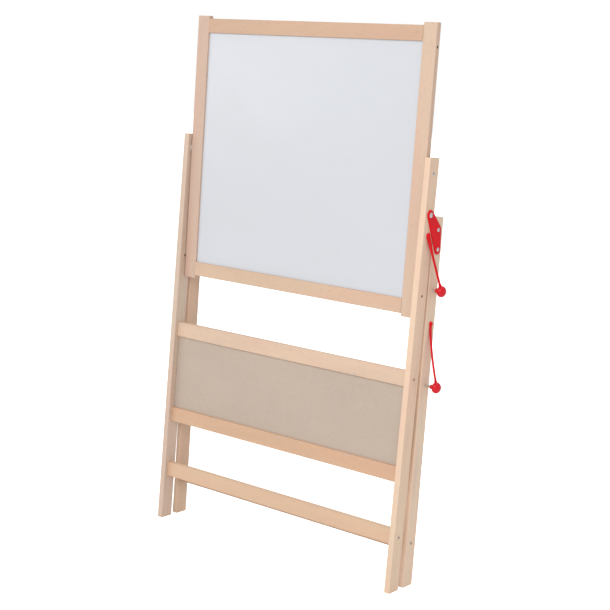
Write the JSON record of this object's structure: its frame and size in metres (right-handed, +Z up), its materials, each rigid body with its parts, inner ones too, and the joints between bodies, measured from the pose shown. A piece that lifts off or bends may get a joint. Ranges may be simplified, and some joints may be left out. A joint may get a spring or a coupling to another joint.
{
  "type": "kids easel",
  "caption": "Wooden folding easel for children with a turning magnetic white and chalk board, a lower panel and red locking pins on straps.",
  "frame": {"origin": "on the floor, in the middle of the bounding box of the easel as it stands folded", "axes": "+X to the viewer's right across the easel, -Y towards the person who draws, +Z up"},
  "size_m": [0.7566, 0.0934, 1.1912],
  "materials": {
    "beech": "satin",
    "panel_hardboard": "matte",
    "board_hardboard": "matte",
    "white_enamel": "gloss",
    "chalk_enamel": "matte",
    "red_plastic": "gloss",
    "zinc_steel": "satin",
    "white_nylon": "matte",
    "brass": "satin"
  },
  "bodies": {
    "front_frame": {"front_leg_left": "beech", "front_leg_right": "beech", "panel_top_rail": "beech", "panel_bottom_rail": "beech", "front_stretcher": "beech", "front_panel": "panel_hardboard", "panel_staples": "zinc_steel", "front_frame_screws": "zinc_steel", "front_frame_dowels": "beech", "board_pivot_bolts": "zinc_steel", "board_pivot_spacers": "white_nylon", "hinge_shoulder_screws": "zinc_steel", "upper_strap_left": "red_plastic", "upper_strap_right": "red_plastic"},
    "rear_frame": {"rear_leg_left": "beech", "rear_leg_right": "beech", "rear_middle_rail": "beech", "rear_stretcher": "beech", "rear_frame_screws": "zinc_steel", "rear_frame_dowels": "beech", "hinge_plate_left": "red_plastic", "hinge_plate_right": "red_plastic", "hinge_plate_screws": "zinc_steel", "lower_strap_left": "red_plastic", "lower_strap_right": "red_plastic"},
    "board": {"board_stile_left": "beech", "board_stile_right": "beech", "board_top_rail": "beech", "board_bottom_rail": "beech", "board_dowels": "beech", "board_core": "board_hardboard", "white_sheet": "white_enamel", "chalk_sheet": "chalk_enamel", "board_pivot_bushings": "brass"},
    "upper_lock_left": {"upper_knob_left": "red_plastic", "upper_pin_left": "zinc_steel"},
    "upper_lock_right": {"upper_knob_right": "red_plastic", "upper_pin_right": "zinc_steel"},
    "lower_lock_left": {"lower_knob_left": "red_plastic", "lower_pin_left": "zinc_steel"},
    "lower_lock_right": {"lower_knob_right": "red_plastic", "lower_pin_right": "zinc_steel"}
  },
  "joints": [
    {"name": "board_turn", "type": "hinge", "parent": "front_frame", "child": "board", "pos_m": [0, -0.00487, 0.88918], "axis": [1, 0, 0], "continuous": true},
    {"name": "rear_fold", "type": "hinge", "parent": "front_frame", "child": "rear_frame", "pos_m": [0, -0.00724, 0.80421], "axis": [1, 0, 0], "range_deg": [-1.1, 24]},
    {"name": "upper_pin_slide_left", "type": "slide", "parent": "rear_frame", "child": "upper_lock_left", "axis": [-1, 0, 0], "range_m": [-0.0065, 0.014]},
    {"name": "upper_pin_slide_right", "type": "slide", "parent": "rear_frame", "child": "upper_lock_right", "axis": [1, 0, 0], "range_m": [-0.0065, 0.014]},
    {"name": "lower_pin_slide_left", "type": "slide", "parent": "rear_frame", "child": "lower_lock_left", "axis": [-1, 0, 0], "range_m": [-0.0145, 0.006]},
    {"name": "lower_pin_slide_right", "type": "slide", "parent": "rear_frame", "child": "lower_lock_right", "axis": [1, 0, 0], "range_m": [-0.0145, 0.006]}
  ]
}
